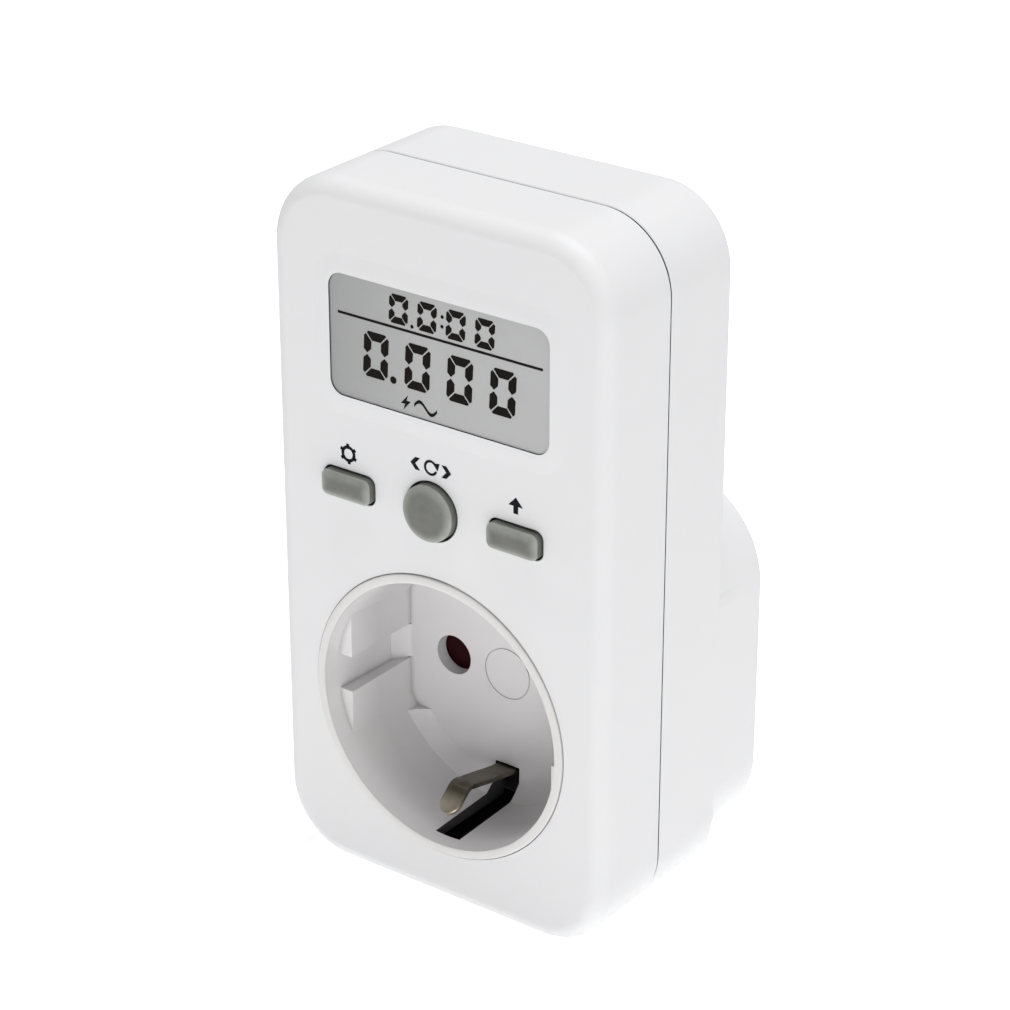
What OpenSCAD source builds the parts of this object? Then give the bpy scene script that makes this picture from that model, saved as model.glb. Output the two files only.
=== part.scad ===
// Plug-in energy meter with a pass-through earthed socket.
// Origin: centre of the plug's mating face, midway between the pins.
// +Y points into the wall, -Y to the user, +Z up.

/* [Housing] */
// Width of the housing
body_w = 55.6; // [54:0.2:58]
// Height of the housing above the socket axis
body_top = 74.2; // [74:0.2:80]
// Depth of the housing below the socket axis
body_bottom = 29; // [29:0.2:30]
// Radius of the housing's four long corners
corner_r = 10.6; // [10:0.1:11]
// Depth of the front shell, from the front face to the seam
front_depth = 13.5; // [13.5:0.1:15]
// Depth of the rear shell, from the seam to its back
rear_depth = 14.5; // [13.8:0.1:16]
// Wall thickness of both shells
wall = 2; // [1.8:0.1:2.2]
// Radius of the edge round the front face
front_round = 2.6; // [1:0.1:2.8]

/* [Rear boss and plug] */
// Height of the raised boss behind the socket
boss_h = 56.4; // [54:0.2:57]
// Corner radius of the boss
boss_corner_r = 14.5; // [12:0.5:15]
// Depth of the boss behind the shell's back
boss_depth = 10.5; // [10.5:0.1:13]
// Radius of the round plug face
plug_r = 18.5; // [18.2:0.1:18.9]
// Depth of the plug face beyond the boss
plug_proud = 5; // [5:0.5:8]
// Distance between the two pins
pin_pitch = 19; // [19:0.1:19]
// Radius of a plug pin
pin_r = 2.4; // [2.4:0.05:2.4]
// Free length of a plug pin
pin_len = 19; // [18:0.5:19]

/* [Socket well] */
// Outer radius of the well's rim
rim_r = 21.2; // [21:0.1:21.2]
// Radius of the well at its mouth
well_r = 19.8; // [19.6:0.1:20]
// Depth of the well
well_depth = 16.3; // [15.5:0.1:16.5]
// Radius of a pin hole in the well's floor
pin_hole_r = 3; // [2.7:0.05:3.1]
// Distance from the well's axis to each side flat
flat_x = 17.3; // [17:0.1:17.8]
// Width of the groove down each side flat
groove_w = 5.5; // [5:0.1:6]

/* [Display] */
// Width of the display window
window_w = 36.2; // [34:0.2:37]
// Height of the display window
window_h = 17.5; // [16:0.1:18]
// Height of the window's centre above the socket axis
window_z = 52.9; // [52.5:0.1:53.2]

/* [Keys] */
// Distance between the centres of neighbouring keys
key_pitch = 14; // [13.8:0.1:14.2]
// Height of the keys above the socket axis
key_z = 31.1; // [30.9:0.1:31.5]
// Width of each side key
side_key_w = 8.2; // [8:0.1:8.6]
// Height of each side key
side_key_h = 3.7; // [3.4:0.1:4.4]
// Diameter of the middle key
round_key_d = 8.1; // [7.8:0.1:9]
// How far the keys stand out of the front face
key_proud = 1.4; // [1.2:0.1:1.6]

/* [Hidden] */
$fn = 64;
gap = 0.3;
window_x = 0.6;
key_mid_x = -0.7;

// Stations along Y
boss_y = -plug_proud;
back_y = boss_y - boss_depth;
seam_y = back_y - rear_depth;
front_y = seam_y - front_depth;
inner_y = front_y + wall;
rim_y = front_y - 0.3;
floor_y = rim_y + well_depth;
floor_t = 2;
floor_back_y = floor_y + floor_t;
shutter_y = floor_back_y + 0.2;
shutter_t = 2;
cover_y = shutter_y + shutter_t + 0.2;
cover_t = 1.5;
carrier_y = cover_y + cover_t;
carrier_t = 3;
strap_y = carrier_y + carrier_t;
strap_t = 0.8;

plug_back_y = boss_y - wall - 1.2;

// Housing details
body_h = body_top + body_bottom;
body_mid_z = (body_top - body_bottom) / 2;
seam_gap = 0.3;
lip_len = 1.8;
lip_offset = 1.1;
case_post_r = 2.6;
case_tube_r = 3.6;
case_screw_r = 1.45;
case_head_r = 2.7;
case_top = [20.9, body_top - 6.2];
case_low = [12, 5.3 - body_bottom];
head_y = back_y - 3;

// Socket details
well_taper = 0.6;
well_flange_r = 22.2;
well_flange_t = 1.3;
flat_drop = 3;
slot_drop = 2.3;
insert_post_pos = 25;
insert_post_r = 2.6;
insert_ear_r = 2.8;
spacer_in_r = 13.6;
spacer_out_r = 15.8;
slot_w = 4.2;
slot_z = 14.6;
pivot_r = 1.5;
clip_w = 3.3;
clip_t = 0.8;
clip_z = 15.2;
clip_root_y = floor_back_y + 0.4;
sleeve_in_r = 2.5;
sleeve_out_r = 3.2;
sleeve_end_y = boss_y - 5;
tag_y = boss_y - 6.6;
tag_t = 0.8;
tag_w = 3;
tag_top = 8;
cover_screw_at = [10.6, 10.2];

// Plug details
plug_flange = 2;
pin_tip = 1.8;
pin_end_r = 1.4;
pin_collar_r = 2.6;
pin_head_r = 3;
pin_head_y = boss_y - 0.7;
pin_head_back_y = pin_head_y - 1.5;
pin_tag_t = 0.5;
pin_tag_w = 3.8;
pin_tag_x = 14.1;
pin_tag_end_y = boss_y - 10;
plug_groove_w = 5.2;
plug_groove_d = 2.3;
earth_w = 5;
earth_t = 0.8;
earth_z = clip_z + 0.7;
earth_end_y = -0.8;

// Display stack
lens_y = front_y + 0.2;
lens_t = 1;
lcd_y = lens_y + lens_t;
lcd_t = 2;
lcd_w = 41;
lcd_h = 21.5;
board_y = front_y + 6.5;
board_t = 1.6;
holder_w = 43.5;
holder_h = 24;

// Power board
power_y = back_y - 4.6;
power_t = 1.6;

// Centres, in X and Z, of the parts on the power board
chip_at = [-8, 50];
crystal_at = [4, 47];
dropper_at = [-9, 34.5];
smoothing_at = [13.5, 36];
varistor_at = [3, 36];
fuse_at = [-3, 27];
diode_at = [11, 41.6];
shunt_at = [-19, 41.4];
resistor_at = [-20, 45.9];
header_at = [-10, 57.6];
battery_at = [1.6, 57];

// Wire routes
wire_r = 1;
wire_low_y = boss_y - 8;
wire_mid_y = boss_y - 10.5;
wire_end_y = power_y - 1;
wire_low_z = 22;
wire_end_z = 26.8;
wire_x = pin_tag_x + 0.25;

// Key details
key_gap = 0.25;
key_flange = 1.1;
key_back_y = inner_y + gap + 1;
key_travel = 1;
pill_t = 0.4;
pill_r = 1.5;
contact_t = 0.05;
pill_y = board_y - contact_t - 0.05 - key_travel - pill_t;

// ---- Helpers ----

// Extrudes an outline drawn in X and Z from y0 to y1
module along_y(y0, y1) {
    translate([0, y1, 0]) rotate([90, 0, 0]) linear_extrude(y1 - y0) children();
}

// Extrudes an outline drawn in Y and Z from x0 to x1
module across_x(x0, x1) {
    translate([x0, 0, 0]) rotate([90, 0, 90]) linear_extrude(x1 - x0) children();
}

module rounded_rect(w, h, r) {
    square([w - 2 * r, h], center = true);
    square([w, h - 2 * r], center = true);
    for (x = [-1, 1], z = [-1, 1]) translate([x * (w / 2 - r), z * (h / 2 - r)]) circle(r);
}

module body_outline(inset) {
    translate([0, body_mid_z])
        rounded_rect(body_w - 2 * inset, body_h - 2 * inset, corner_r - inset);
}

module boss_outline(inset) {
    rounded_rect(body_w - 2 * inset, boss_h - 2 * inset, boss_corner_r - inset);
}

module ring_2d(outer_r, inner_r) {
    difference() {
        circle(outer_r);
        circle(inner_r);
    }
}

module at_case_screws() {
    for (s = [-1, 1], p = [case_top, case_low]) translate([s * p[0], p[1]]) children();
}

module at_insert_posts() {
    for (a = [45:90:315]) rotate(a) translate([insert_post_pos, 0]) children();
}

module at_display_posts() {
    for (s = [-1, 1]) {
        translate([s * 20.8, 37.5]) children();
        translate([s * 12, 68]) children();
    }
}

module at_power_posts() {
    for (s = [-1, 1], z = [29.5, 59.5]) translate([s * 20, z]) children();
}

// A tube of radius r through a list of points, with ball joints
module wire(points, r) {
    for (i = [0:len(points) - 2]) {
        d = points[i + 1] - points[i];
        translate(points[i])
            rotate([0, acos(d[2] / norm(d)), atan2(d[1], d[0])]) cylinder(h = norm(d), r = r, $fn = 24);
    }
    if (len(points) > 2)
        for (i = [1:len(points) - 2]) translate(points[i]) rotate([31, 17, 0]) sphere(r + 0.05, $fn = 24);
}

// ---- Shells ----

// Solid front block with a rounded edge round its face
module front_block() {
    r = front_round;
    hull() {
        along_y(front_y + r, seam_y) body_outline(0);
        for (a = [0:22.5:67.5])
            along_y(front_y + r * (1 - cos(a)), front_y + r) body_outline(r * (1 - sin(a)));
    }
}

module front_shell() color("whitesmoke") {
    difference() {
        front_block();
        along_y(inner_y, seam_y + 1) body_outline(wall);
        along_y(seam_y - lip_len - 0.2, seam_y + 1) body_outline(lip_offset - 0.1);
        along_y(rim_y - 1, inner_y + 1) circle(rim_r + 0.2);
        along_y(front_y - 1, inner_y + 1)
            translate([window_x, window_z]) rounded_rect(window_w, window_h, 2.2);
        along_y(lcd_y, inner_y + 1)
            translate([window_x, window_z]) square([lcd_w + 0.4, lcd_h + 0.4], center = true);
        along_y(front_y - 1, inner_y + 1) {
            for (s = [-1, 1])
                translate([key_mid_x + s * key_pitch, key_z])
                    rounded_rect(side_key_w + 2 * key_gap, side_key_h + 2 * key_gap, 1);
            translate([key_mid_x, key_z]) circle(round_key_d / 2 + key_gap);
        }
    }
    difference() {
        along_y(inner_y - 0.1, seam_y - lip_len - 0.4) at_case_screws() circle(case_post_r);
        along_y(seam_y - 10, seam_y + 1) at_case_screws() circle(case_screw_r + 0.05);
    }
    difference() {
        along_y(inner_y - 0.1, floor_y) at_insert_posts() circle(insert_post_r);
        along_y(floor_back_y - 9, floor_back_y) at_insert_posts() circle(1.15);
    }
    difference() {
        along_y(inner_y - 0.1, board_y) at_display_posts() circle(2);
        along_y(board_y - 4, board_y + 1) at_display_posts() circle(1.05);
    }
}

module rear_shell() color("whitesmoke") difference() {
    union() {
        difference() {
            union() {
                along_y(seam_y + seam_gap, back_y) body_outline(0);
                along_y(seam_y + seam_gap, boss_y) boss_outline(0);
            }
            along_y(seam_y - 1, back_y - wall) body_outline(wall);
            along_y(seam_y - 1, boss_y - wall) boss_outline(wall);
        }
        along_y(seam_y - lip_len, seam_y + 1) difference() {
            body_outline(lip_offset);
            body_outline(wall + 0.2);
        }
        along_y(seam_y + 0.5, back_y - 1) intersection() {
            at_case_screws() circle(case_tube_r);
            body_outline(1);
        }
        along_y(back_y - 1.5, boss_y - 1)
            for (s = [-1, 1]) translate([s * case_low[0], case_low[1]]) circle(case_tube_r);
        along_y(power_y + power_t, back_y - 1) at_power_posts() circle(2.5);
    }
    along_y(boss_y - wall - 1, 1) circle(plug_r + 0.1);
    along_y(seam_y - 1, 1) at_case_screws() circle(case_screw_r + 0.25);
    along_y(head_y, 1) at_case_screws() circle(case_head_r + 0.2);
    along_y(power_y, back_y - 0.8) at_power_posts() circle(1.05);
}

// ---- Socket ----

module at_pins() {
    for (s = [-1, 1]) translate([s * pin_pitch / 2, 0]) children();
}

module earth_slots(y0, y1) {
    along_y(y0, y1) for (s = [-1, 1]) translate([0, s * (slot_z + 4)]) square([slot_w, 8], center = true);
}

// Round wall of the well, with its side flats and the flange that bears on the front shell
module socket_well() color("gainsboro") difference() {
    union() {
        rotate([-90, 0, 0]) rotate_extrude() polygon([
            [well_r, rim_y], [rim_r, rim_y], [rim_r, inner_y + 0.1], [well_flange_r, inner_y + 0.1],
            [well_flange_r, inner_y + well_flange_t], [rim_r, inner_y + well_flange_t],
            [rim_r, floor_y], [well_r - well_taper, floor_y]
        ]);
        along_y(rim_y + flat_drop, floor_y) difference() {
            circle(well_r + 0.3);
            square([2 * flat_x, 2 * well_r + 2], center = true);
            square([2 * well_r + 2, groove_w], center = true);
        }
    }
    earth_slots(rim_y + slot_drop, floor_y + 1);
}

// Floor of the well, with the pin holes, the shutter's spacer ring and the screw ears
module socket_floor() color("gainsboro") difference() {
    union() {
        along_y(floor_y, floor_back_y) circle(rim_r);
        along_y(floor_back_y - 0.1, cover_y) ring_2d(spacer_out_r, spacer_in_r);
        along_y(floor_y, floor_back_y) for (a = [45:90:315]) rotate(a) {
            translate([rim_r - 1, -insert_ear_r]) square([insert_post_pos - rim_r + 1, 2 * insert_ear_r]);
            translate([insert_post_pos, 0]) circle(insert_ear_r);
        }
    }
    along_y(floor_y - 1, floor_back_y + 1) at_pins() circle(pin_hole_r);
    earth_slots(floor_y - 1, floor_back_y + 4);
    along_y(floor_y - 1, floor_back_y + 1) at_insert_posts() circle(1.2);
    along_y(floor_back_y - 0.8, cover_y + 1) at_cover_screws() circle(0.95);
}

module at_cover_screws() {
    for (s = [-1, 1]) translate(s * cover_screw_at) children();
}

module socket_shutter() color("firebrick") difference() {
    along_y(shutter_y, shutter_y + shutter_t) {
        circle(4.2);
        at_pins() circle(3.6);
        square([pin_pitch, 7.2], center = true);
    }
    along_y(shutter_y - 1, shutter_y + shutter_t + 1) circle(pivot_r + 0.06);
    along_y(shutter_y + 1.1, shutter_y + shutter_t + 1) circle(3.4);
}

module shutter_spring() color("silver") for (k = [0, 1])
    translate([0, shutter_y + 1.45 + 0.4 * k, 0]) rotate([90, 0, 0])
        rotate_extrude() translate([2.5, 0]) circle(0.18, $fn = 16);

module shutter_cover() color("ivory") {
    along_y(cover_y, cover_y + cover_t) difference() {
        circle(spacer_out_r);
        at_pins() circle(3.4);
        at_cover_screws() circle(1);
        for (s = [-1, 1]) translate([0, s * (slot_z + 3.5)]) square([5.2, 9], center = true);
    }
    along_y(floor_back_y + 0.05, cover_y + 0.1) circle(pivot_r);
}

// Spring clip, bent towards the axis by dip at bend_y and back out by rise at its tip
module earth_clip_shape(bend_y, dip, tip_y, rise) {
    inner = clip_z - clip_t / 2;
    outer = clip_z + clip_t / 2;
    across_x(-clip_w / 2, clip_w / 2) polygon([
        [clip_root_y, inner], [floor_y - 0.4, inner],
        [bend_y, clip_z - dip], [bend_y - 0.9, clip_z - dip + 0.2], [tip_y, clip_z + rise],
        [tip_y + 0.5, clip_z + rise + 0.7], [bend_y - 0.5, clip_z - dip + 1],
        [bend_y + 0.1, clip_z - dip + 0.8], [floor_y - 0.3, outer], [clip_root_y, outer]
    ]);
}

module earth_clip_upper() color("darkkhaki")
    earth_clip_shape(bend_y = front_y + 9.6, dip = 1.4, tip_y = front_y + 5.3, rise = 1.4);

module earth_clip_lower() color("darkkhaki") mirror([0, 0, 1])
    earth_clip_shape(bend_y = front_y + 5.5, dip = 2.6, tip_y = front_y + 1.4, rise = 0.4);

module earth_bridge() color("darkkhaki") {
    along_y(strap_y, strap_y + strap_t) square([earth_w, 2 * clip_z + 2], center = true);
    for (s = [-1, 1])
        along_y(clip_root_y + 0.2, strap_y + 0.1)
            translate([0, s * clip_z]) square([clip_w, clip_t], center = true);
}

// Slotted spring sleeve that grips a plug's pin, with a tag for its wire
module pin_sleeve() {
    tag_low = sleeve_in_r + 0.3;
    along_y(carrier_y + 0.1, sleeve_end_y) difference() {
        ring_2d(sleeve_out_r, sleeve_in_r);
        translate([0, -3]) square([1, 6], center = true);
    }
    along_y(tag_y - tag_t / 2, tag_y + tag_t / 2)
        translate([-tag_w / 2, tag_low]) square([tag_w, tag_top - tag_low]);
}

module live_contact() color("gold") translate([-pin_pitch / 2, 0, 0]) pin_sleeve();

module neutral_contact() color("gold") translate([pin_pitch / 2, 0, 0]) pin_sleeve();

module contact_carrier() color("ivory") along_y(carrier_y, carrier_y + carrier_t) difference() {
    rounded_rect(30, 15, 2);
    at_pins() circle(sleeve_out_r + 0.05);
}

// ---- Plug ----

module plug_base() color("whitesmoke") difference() {
    union() {
        along_y(boss_y - wall - 0.1, 0) circle(plug_r);
        along_y(plug_back_y, boss_y - wall) circle(plug_r + plug_flange);
    }
    along_y(plug_back_y - 1, 1) at_pins() circle(pin_collar_r + 0.03);
    along_y(pin_head_back_y, pin_head_y) at_pins() circle(pin_head_r);
    along_y(plug_back_y - 1, pin_head_back_y) {
        at_pins() circle(pin_head_r + 0.2);
        for (s = [-1, 1]) translate([s * 12.4, 0]) square([5.8, pin_tag_w + 0.4], center = true);
    }
    along_y(plug_back_y - 1, 1)
        for (s = [-1, 1]) translate([0, s * (earth_z + 1.05)]) square([earth_w + 1, 3.3], center = true);
    along_y(boss_y, 1) for (s = [-1, 1])
        translate([s * plug_r, 0]) square([2 * plug_groove_d, plug_groove_w], center = true);
}

// Pin with its collar, its head behind the moulding and a bent tag for the wire
module plug_pin() {
    tag_end = pin_tag_x + pin_tag_t;
    translate([pin_pitch / 2, 0, 0]) rotate([-90, 0, 0]) cylinder(h = pin_len - pin_tip, r = pin_r);
    translate([pin_pitch / 2, pin_len - pin_tip, 0])
        rotate([-90, 0, 0]) cylinder(h = pin_tip, r1 = pin_r, r2 = pin_end_r);
    along_y(pin_head_y, 0) translate([pin_pitch / 2, 0]) circle(pin_collar_r);
    along_y(pin_head_back_y, pin_head_y) translate([pin_pitch / 2, 0]) circle(pin_head_r);
    along_y(pin_head_back_y - pin_tag_t, pin_head_back_y)
        translate([pin_pitch / 2, -pin_tag_w / 2]) square([tag_end - pin_pitch / 2, pin_tag_w]);
    along_y(pin_tag_end_y, pin_head_back_y)
        translate([pin_tag_x, -pin_tag_w / 2]) square([pin_tag_t, pin_tag_w]);
}

module plug_pin_live() color("silver") mirror([1, 0, 0]) plug_pin();

module plug_pin_neutral() color("silver") plug_pin();

module plug_earth_contact() {
    along_y(strap_y + strap_t, earth_end_y) translate([0, earth_z]) square([earth_w, earth_t], center = true);
}

module plug_earth_contact_upper() color("silver") plug_earth_contact();

module plug_earth_contact_lower() color("silver") mirror([0, 0, 1]) plug_earth_contact();

// ---- Display ----

module at_window() {
    translate([window_x, window_z]) children();
}

module display_window() color("lightgray", 0.6)
    along_y(lens_y, lens_y + lens_t) at_window() rounded_rect(window_w - 0.1, window_h - 0.1, 2.1);

module lcd_glass() color("darkseagreen")
    along_y(lcd_y, lcd_y + lcd_t) at_window() square([lcd_w, lcd_h], center = true);

module lcd_reflector() color("silver")
    along_y(lcd_y + lcd_t, lcd_y + lcd_t + 0.2) at_window() square([lcd_w - 3, lcd_h - 5], center = true);

module lcd_holder() color("white")
    along_y(inner_y, board_y) at_window() difference() {
        square([holder_w, holder_h], center = true);
        square([lcd_w + 0.2, lcd_h + 0.2], center = true);
    }

module contact_strip(side) {
    along_y(lcd_y + lcd_t, board_y)
        translate([window_x, window_z + side * (lcd_h / 2 - 1.3)]) square([lcd_w - 3, 1.6], center = true);
}

module contact_strip_upper() color("dimgray") contact_strip(1);

module contact_strip_lower() color("dimgray") contact_strip(-1);

module display_board() color("seagreen") along_y(board_y, board_y + board_t) difference() {
    union() {
        translate([0, 44.2]) square([46, 39.4], center = true);
        translate([0, 60]) square([30, 21], center = true);
    }
    at_display_posts() circle(1.1);
}

module display_chip() color("black")
    translate([0, board_y + board_t, 52]) rotate([-90, 0, 0]) cylinder(h = 1.3, r1 = 6, r2 = 4.5);

// ---- Keys ----

module at_keys() {
    for (k = [-1, 0, 1]) translate([key_mid_x + k * key_pitch, key_z]) children();
}

module side_key(side) {
    translate([key_mid_x + side * key_pitch, 0, key_z]) {
        along_y(front_y - key_proud, key_back_y - 0.9) rounded_rect(side_key_w, side_key_h, 0.8);
        along_y(key_back_y - 1, key_back_y)
            rounded_rect(side_key_w + 2 * key_flange, side_key_h + 2 * key_flange, 1);
        along_y(key_back_y - 0.1, pill_y) rounded_rect(5.4, 3.2, 0.6);
    }
}

module set_key() color("gray") side_key(-1);

module up_key() color("gray") side_key(1);

module mode_key() color("gray") translate([key_mid_x, 0, key_z]) {
    along_y(front_y - key_proud, key_back_y - 0.9) circle(round_key_d / 2);
    along_y(key_back_y - 1, key_back_y) circle(round_key_d / 2 + key_flange);
    along_y(key_back_y - 0.1, pill_y) circle(2);
}

module pill(side) {
    along_y(pill_y, pill_y + pill_t) translate([key_mid_x + side * key_pitch, key_z]) circle(pill_r);
}

module set_pill() color("black") pill(-1);

module mode_pill() color("black") pill(0);

module up_pill() color("black") pill(1);

module key_contacts() color("gold") along_y(board_y - contact_t, board_y) at_keys() ring_2d(1.9, 0.5);

module keypad_mat() color("gray") along_y(board_y - 0.8, board_y) difference() {
    translate([key_mid_x, key_z - 0.4]) rounded_rect(41, 9.4, 1.5);
    at_keys() rounded_rect(7, 5, 1);
}

// ---- Electronics ----

module power_board() color("darkgreen") along_y(power_y, power_y + power_t) difference() {
    translate([0, 43.5]) square([46, 39], center = true);
    at_power_posts() circle(1.1);
}

// A block w by h standing on the power board's front face, raised by lift
module on_board(at, w, h, tall, lift = 0) {
    along_y(power_y - lift - tall, power_y - lift) translate(at) square([w, h], center = true);
}

// A wire leg that comes out of the power board
module board_lead(at, reach) {
    along_y(power_y - reach, power_y) translate(at) circle(0.3, $fn = 16);
}

// A cylinder lying along X in front of the power board, from the point at
module lying(at, lift, length, r, fn = 64) {
    translate([at[0], power_y - lift, at[1]]) rotate([0, 90, 0]) cylinder(h = length, r = r, $fn = fn);
}

module metering_chip() color("black") {
    on_board(chip_at, w = 10, h = 4, tall = 1.6, lift = 0.2);
    for (k = [-3.5:3.5], s = [-1, 1]) on_board(chip_at + [1.1 * k, s * 2.4], w = 0.4, h = 1.2, tall = 0.6);
}

module crystal() color("silver") {
    along_y(power_y - 3.5, power_y) translate(crystal_at) {
        square([6, 4.2], center = true);
        for (s = [-1, 1]) translate([s * 3, 0]) circle(2.1);
    }
}

module dropper_capacitor() color("gold") on_board(dropper_at, w = 18, h = 8.4, tall = 11.5);

module smoothing_capacitor() color("midnightblue")
    along_y(power_y - 11.5, power_y) translate(smoothing_at) circle(4);

module varistor() color("royalblue") {
    lying(varistor_at, lift = 6, length = 3.6, r = 4.5);
    board_lead(varistor_at + [1, -2], reach = 2.5);
    board_lead(varistor_at + [2.6, 2], reach = 2.5);
}

module fuse() color("lightgray") {
    lying(fuse_at, lift = 3.2, length = 12, r = 2.3);
    for (dx = [-1, 10]) lying(fuse_at + [dx, 0], lift = 3.2, length = 3, r = 2.6);
    for (dx = [0.5, 11.5]) on_board(fuse_at + [dx, 0], w = 1.4, h = 2, tall = 1);
}

module rectifier_diodes() color("black") for (k = [0:3]) {
    at = diode_at + [0, 2.6 * k];
    lying(at, lift = 1.7, length = 4.6, r = 1.2, fn = 24);
    for (dx = [-1.6, 4.6]) lying(at + [dx, 0], lift = 1.7, length = 1.6, r = 0.3, fn = 16);
    for (dx = [-1.4, 6]) board_lead(at + [dx, 0], reach = 1.9);
}

module shunt() color("darkgoldenrod") translate([shunt_at[0], power_y, shunt_at[1]]) linear_extrude(2.8) {
    translate([0, -4]) square([12, 1]);
    for (x = [0, 11]) translate([x, -3.5]) square([1, 3.5]);
}

module board_resistors() color("black")
    for (k = [0:5]) on_board(resistor_at + [3.5 * k, 0], w = 2, h = 1.2, tall = 0.6);

module board_header() color("black") on_board(header_at, w = 14, h = 2.6, tall = 6);

module board_cable() color("slategray")
    along_y(board_y + board_t, power_y - 6) translate(header_at) square([12, 1], center = true);

module backup_battery() color("mediumseagreen") {
    lying(battery_at, lift = 6.2, length = 15.6, r = 5.7);
    for (dx = [-0.25, 15.85]) on_board(battery_at + [dx, 0], w = 0.5, h = 4, tall = 8);
}

// Wire from a plug pin's tag, round the edge of the power board to its front face
module board_wire() {
    wire([
        [-wire_x, wire_low_y, 2.9], [-wire_x, wire_low_y, 14], [-15.5, wire_mid_y, 21.2],
        [-15.5, wire_end_y, wire_low_z], [-15.5, wire_end_y, wire_end_z]], wire_r);
}

module live_in_wire() color("brown") board_wire();

module live_out_wire() color("brown") wire([
    [-pin_pitch / 2, tag_y, tag_top + 1], [-pin_pitch / 2, tag_y, 14], [-9.5, wire_mid_y, 21.2],
    [-9.5, wire_end_y, wire_low_z], [-9.5, wire_end_y, wire_end_z]], wire_r);

module neutral_link_wire() color("steelblue") wire([
    [pin_pitch / 2, tag_y, tag_top + 1], [pin_pitch / 2, tag_y, 11.5], [13.2, boss_y - 5.3, 10],
    [wire_x, boss_y - 5.2, 2.9]], wire_r);

module neutral_tap_wire() color("steelblue") mirror([1, 0, 0]) board_wire();

// ---- Fasteners ----

// Pan-head screw whose head sits on the face at y, with its shaft running to -Y
module screw(y, shaft_r, shaft_len, head_r, head_h) {
    along_y(y - shaft_len, y + 0.1) circle(shaft_r, $fn = 32);
    difference() {
        along_y(y, y + head_h) circle(head_r, $fn = 32);
        along_y(y + head_h / 2, y + head_h + 1) {
            square([head_r * 1.2, 0.5], center = true);
            square([0.5, head_r * 1.2], center = true);
        }
    }
}

module case_screws() color("dimgray") for (s = [-1, 1], p = [case_top, case_low])
    translate([s * p[0], 0, p[1]]) screw(head_y, case_screw_r, 19, case_head_r, 2);

module insert_screws() color("silver") for (a = [45:90:315])
    translate([insert_post_pos * cos(a), 0, insert_post_pos * sin(a)])
        screw(floor_back_y, 1.1, 8, 2, 1.2);

module cover_screws() color("silver") for (s = [-1, 1])
    translate([s * cover_screw_at[0], 0, s * cover_screw_at[1]]) screw(cover_y + cover_t, 0.9, 3.2, 1.6, 1);

module display_board_screws() color("silver") for (s = [-1, 1]) {
    translate([s * 20.8, 0, 37.5]) screw(board_y + board_t, 1, 5, 1.9, 1.1);
    translate([s * 12, 0, 68]) screw(board_y + board_t, 1, 5, 1.9, 1.1);
}

module power_board_screws() color("silver") for (s = [-1, 1], z = [29.5, 59.5])
    translate([s * 20, 0, z]) mirror([0, 1, 0]) screw(-power_y, 1, 3.4, 1.9, 1.1);

front_shell();
rear_shell();
socket_well();
socket_floor();
socket_shutter();
shutter_spring();
shutter_cover();
earth_clip_upper();
earth_clip_lower();
earth_bridge();
live_contact();
neutral_contact();
contact_carrier();
plug_base();
plug_pin_live();
plug_pin_neutral();
plug_earth_contact_upper();
plug_earth_contact_lower();
display_window();
lcd_glass();
lcd_reflector();
lcd_holder();
contact_strip_upper();
contact_strip_lower();
display_board();
display_chip();
keypad_mat();
set_key();
mode_key();
up_key();
set_pill();
mode_pill();
up_pill();
key_contacts();
power_board();
metering_chip();
crystal();
dropper_capacitor();
smoothing_capacitor();
varistor();
fuse();
rectifier_diodes();
shunt();
board_resistors();
board_header();
board_cable();
backup_battery();
live_in_wire();
live_out_wire();
neutral_link_wire();
neutral_tap_wire();
case_screws();
insert_screws();
cover_screws();
display_board_screws();
power_board_screws();
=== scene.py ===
"""Looks of the plug-in energy meter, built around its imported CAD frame.

The frame is in metres: +Y points into the wall, -Y to the user, +Z up, and the origin is the
centre of the plug's face. Sizes below are in millimetres and are scaled by MM where a mesh is made.
"""

import math

import bmesh
import bpy
from mathutils import Matrix, Vector


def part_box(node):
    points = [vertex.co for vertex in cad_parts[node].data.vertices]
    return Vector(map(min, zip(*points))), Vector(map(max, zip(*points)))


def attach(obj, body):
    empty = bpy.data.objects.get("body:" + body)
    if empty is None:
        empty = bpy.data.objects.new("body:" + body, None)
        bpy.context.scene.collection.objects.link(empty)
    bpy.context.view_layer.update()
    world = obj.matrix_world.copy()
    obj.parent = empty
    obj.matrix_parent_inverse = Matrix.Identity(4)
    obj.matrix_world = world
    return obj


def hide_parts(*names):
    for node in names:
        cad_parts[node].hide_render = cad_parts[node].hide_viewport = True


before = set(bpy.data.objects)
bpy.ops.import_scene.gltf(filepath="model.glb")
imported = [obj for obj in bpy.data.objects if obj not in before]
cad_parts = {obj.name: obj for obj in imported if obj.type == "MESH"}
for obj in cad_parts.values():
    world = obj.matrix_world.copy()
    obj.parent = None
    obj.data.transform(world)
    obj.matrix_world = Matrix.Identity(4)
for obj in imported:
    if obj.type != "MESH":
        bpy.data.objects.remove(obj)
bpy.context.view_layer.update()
MM = 0.001

# ---------------------------------------------------------------- sizes, in mm


def box_mm(node):
    """The low and high corner of a CAD node, in mm."""
    low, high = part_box(node)
    return [v / MM for v in low], [v / MM for v in high]


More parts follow.
